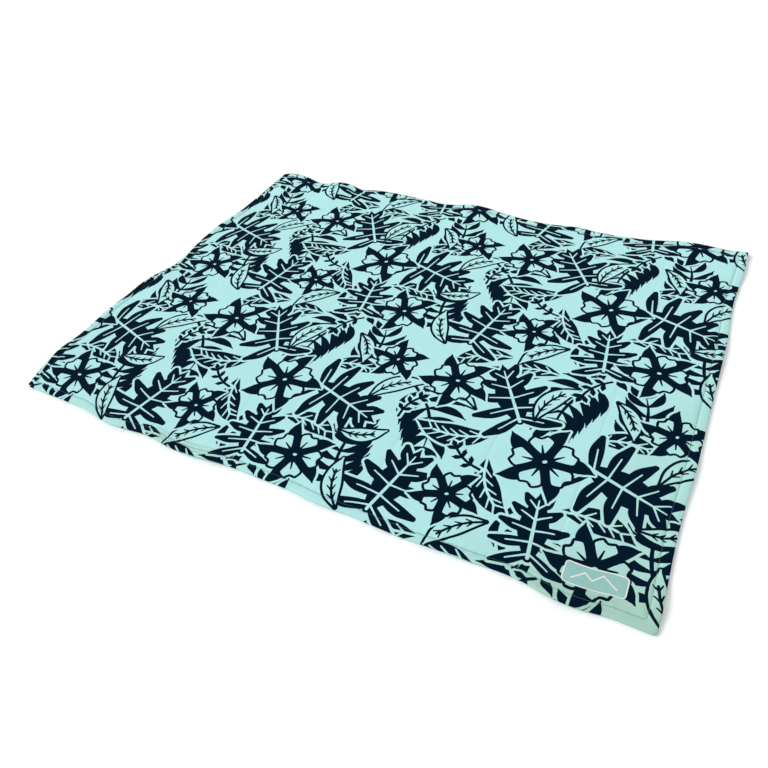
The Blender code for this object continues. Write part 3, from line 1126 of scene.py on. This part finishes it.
def painted_hem_shade(x, y):
    """How much painted shade the face cloth gets: along the hem, in the hem seam and its lines, and most in
    the front right corner.
    """
    inwards = edge_distance(x, y)
    # painted shade along the hem, in the front right corner and along the right part of the front hem
    hem = 0.30 * smoothstep(0.030, 0.004, inwards) * (0.6 + 0.4 * np.sin(7 * x + 5 * y + 1.0))
    corner = smoothstep(0.50, 1.50, (x - y) * smoothstep(0.30, 0.80, x))
    front = 0.50 * smoothstep(0.150, 0.030, HALF_WIDTH + y) * smoothstep(0.35, 0.72, x)
    # painted shade in the gathered lines beside the front hem and at the bottom of the hem seam's groove
    creased = gathered(x, y) * (0.30 * smoothstep(0.050, 0.020, inwards) + hem_lines(x, y))
    seam = 0.7 * np.exp(-(((inwards - HEM_INSET) / 0.0018) ** 2))
    return np.clip(hem + 0.45 * corner + front, 0.0, 1.0) + creased + seam


def make_face_cloth(sizes, colours):
    """The printed face, one sheet of cloth whose margin turns in under the wadding."""
    flat, triangles, inked = printed_triangles(print_on_cloth(sizes), sizes)
    points = folded(flat, sizes)
    materials = [
        printed_cloth("printed_mint", tuple(colours.mint), tuple(colours.mint_painted_shade), 0.22, 0.08),
        # the navy's painted shade colour is a little lighter than the navy itself
        printed_cloth("printed_navy", tuple(colours.navy), shaded(tuple(colours.navy), 1.05), 0.03, 0.0),
    ]
    piece = add_piece(
        "face_cloth_printed", points, triangles.tolist(), materials, "face_cloth"
    )
    piece.data.polygons.foreach_set("material_index", inked.astype(np.int32))
    # stores the amount of painted shade per point, read by the material
    painted_shade = piece.data.attributes.new("painted_shade", "FLOAT", "POINT")
    painted_shade.data.foreach_set("value", painted_hem_shade(flat[:, 0], flat[:, 1]))
    outline = margin_outline()


def make_wadding(sizes, colours):
    """The fibre filling, a soft slab that ends inside the rolled edge."""
    inset = HALF_LENGTH - WADDING_HIGH.x + FOLD_RADIUS / 2
    half_x, half_y = HALF_LENGTH - inset, HALF_WIDTH - inset
    columns, rows = cloth_grid(half_x, half_y, 0.016, sizes)

    def rim(x, y):
        """1 inside, falling to 0 at the slab's rim, as a quarter round."""
        depth = np.clip((edge_distance(x, y) - inset) / 0.003, 0, 1)
        return np.sqrt(1 - (1 - depth) ** 2)

    def side(x, y, upper):
        """The slab's upper or lower side. Both draw in to its middle height at the rim."""
        low = MARGIN_HEIGHT + 0.0003 * smoothstep(MARGIN + 0.006, MARGIN + 0.001, edge_distance(x, y))
        high = np.maximum(loft(x, y, sizes, puckered=False) - WADDING_GAP, low + 0.0001)
        middle = (low + high) / 2
        height = BACKING_TOP + middle + ((high if upper else low) - middle) * (0.15 + 0.85 * rim(x, y))
        return laid_above_floor(*rounded_corner(x, y, half_x, half_y, 0.006), height, sizes)

    points, faces = closed_sheet(columns, rows, lambda x, y: side(x, y, True), lambda x, y: side(x, y, False))
    materials = [fibre_filling("polyester_filling", tuple(colours.wadding))]
    piece = add_piece("wadding_filling", points, faces, materials, "wadding")


def make_backing(sizes, colours):
    """The brushed cloth underneath, drawn up a little along the hem seam."""
    half_x, half_y = BACKING_HIGH.x, BACKING_HIGH.y
    columns, rows = cloth_grid(half_x, half_y, 0.015, sizes)
    thickness = BACKING_HIGH.z - BACKING_LOW.z

    def rounding(x, y):
        """Height lost at the cut edge."""
        depth = np.clip(np.minimum(half_x - np.abs(x), half_y - np.abs(y)) / 0.0014, 0, 1)
        return (1 - np.sqrt(1 - (1 - depth) ** 2)) * 0.45 * thickness

    def plan(x, y):
        """The grid with round corners."""
        return rounded_corner(x, y, half_x, half_y, 0.007)

    def top(x, y):
        return laid_above_floor(*plan(x, y), thickness - rounding(x, y), sizes)

    def bottom(x, y):
        drawn = 0.0008 * np.exp(-((edge_distance(x, y) - HEM_INSET) / 0.0022) ** 2)
        return laid_above_floor(*plan(x, y), drawn + rounding(x, y), sizes)

    points, faces = closed_sheet(columns, rows, top, bottom)
    materials = [brushed_cloth("brushed_backing", tuple(colours.backing))]
    piece = add_piece("backing_brushed", points, faces, materials, "backing_cloth")


def make_hem_stitches(sizes, colours):
    """Every stitch of the hem seam: needle thread on the face, bobbin thread underneath."""
    seam = spun_thread("seam_thread_spun", tuple(colours.seam))
    half_x, half_y = HALF_LENGTH - HEM_INSET, HALF_WIDTH - HEM_INSET
    places, headings = rounded_path(half_x, half_y, 0.004, sizes.stitch_length)
    template, faces = thread_template(sizes.stitch_length * 0.86, 0.0010, 0.0007, 0.00035, 3, 5)
    x, y, height, all_faces = copies(template, faces, places, headings)
    add_piece(
        "hem_stitches_face", laid_on_top(x, y, height + 0.00030, sizes), all_faces, [seam],
        "hem_needle_thread",
    )
    template, faces = thread_template(sizes.stitch_length * 0.84, 0.0008, 0.0006, -0.00015, 3, 5)
    x, y, height, all_faces = copies(template, faces, places, headings)
    add_piece(
        "hem_stitches_underside", laid_above_floor(x, y, height + 0.00045, sizes), all_faces, [seam],
        "hem_bobbin_thread",
    )


def make_patch(sizes, colours):
    """The twill patch, a thin closed sheet with turned-down edges."""
    middle = (PATCH_LOW + PATCH_HIGH) / 2
    half = (PATCH_HIGH - PATCH_LOW) / 2
    columns = stations(half.x, 0.0035, [-half.x + 0.001, half.x - 0.001], [0.0006])
    rows = stations(half.y, 0.0035, [-half.y + 0.001, half.y - 0.001], [0.0006])

    def plan(x, y):
        """The grid with round corners, moved to the patch's place."""
        x, y = rounded_corner(x, y, half.x, half.y, PATCH_CORNER)
        return x + middle.x, y + middle.y

    def top(x, y):
        depth = np.clip(np.minimum(half.x - np.abs(x), half.y - np.abs(y)) / 0.0012, 0, 1)
        height = 0.00025 + (half.z * 2 - 0.00025) * np.sqrt(1 - (1 - depth) ** 2)
        return laid_on_top(*plan(x, y), height, sizes)

    def bottom(x, y):
        return laid_on_top(*plan(x, y), 0.00012, sizes)

    points, faces = closed_sheet(columns, rows, top, bottom)
    materials = [twill_cloth("patch_twill_weave", tuple(colours.patch))]
    piece = add_piece("corner_patch_twill", points, faces, materials, "corner_patch")


def hill_line():
    """The embroidered hills: their corner places from left to right."""
    shares = ((0.0, 0.0), (0.27, 0.85), (0.45, 0.30), (0.66, 1.0), (1.0, 0.0))
    low = EMBLEM_LOW
    span = EMBLEM_HIGH - EMBLEM_LOW
    edge = 0.0024
    return [
        Vector((low.x + edge + (span.x - 2 * edge) * across, low.y + edge + (span.y - 2 * edge) * up))
        for across, up in shares
    ]


def make_embroidery(sizes, colours):
    """Satin stitches: a raised border round the patch and a line of hills on it."""
    white = spun_thread("embroidery_thread_spun", tuple(colours.embroidery), 2200.0, 0.3)
    middle = (BORDER_LOW + BORDER_HIGH) / 2
    half = (BORDER_HIGH - BORDER_LOW) / 2
    width = (PATCH_LOW.x - BORDER_LOW.x) + 0.0006
    path_x, path_y = half.x - width / 2, half.y - width / 2
    places, headings = rounded_path(path_x, path_y, 0.0072, SATIN_PITCH, (middle.x, middle.y))
    height = BORDER_HIGH.z - BORDER_LOW.z
    template, faces = thread_template(width, 0.00062, 0.0006, height * 0.62, 5, 5)
    x, y, rise, all_faces = copies(template, faces, places, headings + SATIN_SLANT)
    add_piece(
        "patch_border_satin", laid_on_top(x, y, rise + height * 0.80, sizes), all_faces, [white],
        "patch_border_thread",
    )
    places, headings = [], []
    corners = hill_line()
    for start, end in zip(corners, corners[1:]):
        run = end - start
        count = round(run.length / SATIN_PITCH)
        heading = math.atan2(run.y, run.x)
        for number in range(count + 1):
            places.append(tuple(start + run * (number / count)))
            headings.append(heading)
    template, faces = thread_template(0.0040, 0.00060, 0.00055, 0.00042, 5, 5)
    x, y, rise, all_faces = copies(template, faces, np.array(places), np.array(headings) + SATIN_SLANT)
    on_patch = PATCH_HIGH.z - PATCH_LOW.z
    add_piece(
        "patch_hills_satin", laid_on_top(x, y, rise + on_patch + 0.00045, sizes), all_faces, [white],
        "patch_emblem_thread",
    )


# ---------------------------------------------------------------- stage

CAMERA_PLACE = (0.7580, -1.2897, 1.1898)
CAMERA_AZIMUTH = 33.086
CAMERA_ELEVATION = 43.972
CAMERA_ROLL = -7.633
CAMERA_LENS = 30.54


def add_sun(name, towards, strength, spread):
    """A distant lamp as wide in the sky as spread, in degrees, so that it lights the whole floor evenly."""
    data = bpy.data.lights.new(name, "SUN")
    data.energy = strength
    data.angle = math.radians(spread)
    lamp = bpy.data.objects.new(name, data)
    lamp.location = -4 * Vector(towards)
    lamp.rotation_euler = Vector(towards).to_track_quat("-Z", "Y").to_euler()
    bpy.context.scene.collection.objects.link(lamp)


def make_stage():
    """A wide pale floor, soft studio light and the camera."""
    mesh = bpy.data.meshes.new("studio_floor")
    half = 9.0
    corners = [(-half, -half, 0), (half, -half, 0), (half, half, 0), (-half, half, 0)]
    mesh.from_pydata(corners, [], [(0, 1, 2, 3)])
    mesh.materials.append(studio_floor("pale_floor", srgb(244, 246, 246)))
    floor = bpy.data.objects.new("studio_floor", mesh)
    floor.location.z = -0.0004
    bpy.context.scene.collection.objects.link(floor)

    world = bpy.data.worlds.new("soft_studio")
    world.use_nodes = True
    sky = next(made for made in world.node_tree.nodes if made.type == "BACKGROUND")
    sky.inputs["Color"].default_value = (1.0, 1.0, 1.0, 1.0)
    sky.inputs["Strength"].default_value = 0.80
    bpy.context.scene.world = world
    bpy.context.scene.view_settings.view_transform = "Standard"

    add_sun("soft_key", (0.72, 0.30, -0.62), 1.75, 24.0)

    data = bpy.data.cameras.new("camera")
    data.lens = CAMERA_LENS
    data.sensor_width = 36.0
    camera = bpy.data.objects.new("camera", data)
    azimuth, elevation = math.radians(CAMERA_AZIMUTH), math.radians(CAMERA_ELEVATION)
    upright = Euler((math.pi / 2 - elevation, 0.0, azimuth), "XYZ").to_matrix()
    roll = Euler((0.0, 0.0, math.radians(CAMERA_ROLL)), "XYZ").to_matrix()
    camera.location = CAMERA_PLACE
    camera.rotation_euler = (upright @ roll).to_euler()
    bpy.context.scene.collection.objects.link(camera)
    bpy.context.scene.camera = camera


# ---------------------------------------------------------------- operators, panel and main


class BLANKET_OT_stage(Operator):
    """Set up the pale floor, the soft light and the camera"""

    bl_idname = "blanket.stage"
    bl_label = "Stage"

    def execute(self, context):
        make_stage()
        return {"FINISHED"}


class BLANKET_OT_backing(Operator):
    """Lay the brushed backing cloth on the floor"""

    bl_idname = "blanket.backing"
    bl_label = "Backing Cloth"

    def execute(self, context):
        make_backing(context.scene.blanket_sizes, context.scene.blanket_colours)
        return {"FINISHED"}


class BLANKET_OT_wadding(Operator):
    """Lay the fibre filling on the backing"""

    bl_idname = "blanket.wadding"
    bl_label = "Wadding"

    def execute(self, context):
        make_wadding(context.scene.blanket_sizes, context.scene.blanket_colours)
        return {"FINISHED"}


class BLANKET_OT_face_cloth(Operator):
    """Print, cut and fold the face cloth over the wadding"""

    bl_idname = "blanket.face_cloth"
    bl_label = "Printed Face Cloth"

    def execute(self, context):
        make_face_cloth(context.scene.blanket_sizes, context.scene.blanket_colours)
        return {"FINISHED"}


class BLANKET_OT_hem_stitches(Operator):
    """Sew the hem seam, needle thread above and bobbin thread below"""

    bl_idname = "blanket.hem_stitches"
    bl_label = "Hem Stitches"

    def execute(self, context):
        make_hem_stitches(context.scene.blanket_sizes, context.scene.blanket_colours)
        return {"FINISHED"}


class BLANKET_OT_patch(Operator):
    """Put the twill patch on the front right corner"""

    bl_idname = "blanket.patch"
    bl_label = "Corner Patch"

    def execute(self, context):
        make_patch(context.scene.blanket_sizes, context.scene.blanket_colours)
        return {"FINISHED"}


class BLANKET_OT_embroidery(Operator):
    """Embroider the border and the hills of the patch"""

    bl_idname = "blanket.embroidery"
    bl_label = "Patch Embroidery"

    def execute(self, context):
        make_embroidery(context.scene.blanket_sizes, context.scene.blanket_colours)
        return {"FINISHED"}


STEPS = (
    BLANKET_OT_stage,
    BLANKET_OT_backing,
    BLANKET_OT_wadding,
    BLANKET_OT_face_cloth,
    BLANKET_OT_hem_stitches,
    BLANKET_OT_patch,
    BLANKET_OT_embroidery,
)


class BLANKET_PT_looks(Panel):
    """Sizes, colours and steps of the camp blanket"""

    bl_label = "Camp Blanket"
    bl_idname = "BLANKET_PT_looks"
    bl_space_type = "VIEW_3D"
    bl_region_type = "UI"
    bl_category = "Camp Blanket"

    def draw(self, context):
        for group in (context.scene.blanket_sizes, context.scene.blanket_colours):
            box = self.layout.box()
            for name in group.__annotations__:
                box.prop(group, name)
        column = self.layout.column(align=True)
        for step in STEPS:
            column.operator(step.bl_idname)


CLASSES = (BlanketSizes, BlanketColours, *STEPS, BLANKET_PT_looks)


def register():
    for cls in CLASSES:
        bpy.utils.register_class(cls)
    bpy.types.Scene.blanket_sizes = PointerProperty(type=BlanketSizes)
    bpy.types.Scene.blanket_colours = PointerProperty(type=BlanketColours)


def unregister():
    del bpy.types.Scene.blanket_colours
    del bpy.types.Scene.blanket_sizes
    for cls in reversed(CLASSES):
        bpy.utils.unregister_class(cls)


def main():
    """Builds everything in order."""
    register()
    bpy.ops.blanket.stage()
    bpy.ops.blanket.backing()
    bpy.ops.blanket.wadding()
    bpy.ops.blanket.face_cloth()
    bpy.ops.blanket.hem_stitches()
    bpy.ops.blanket.patch()
    bpy.ops.blanket.embroidery()


if __name__ == "__main__":
    main()
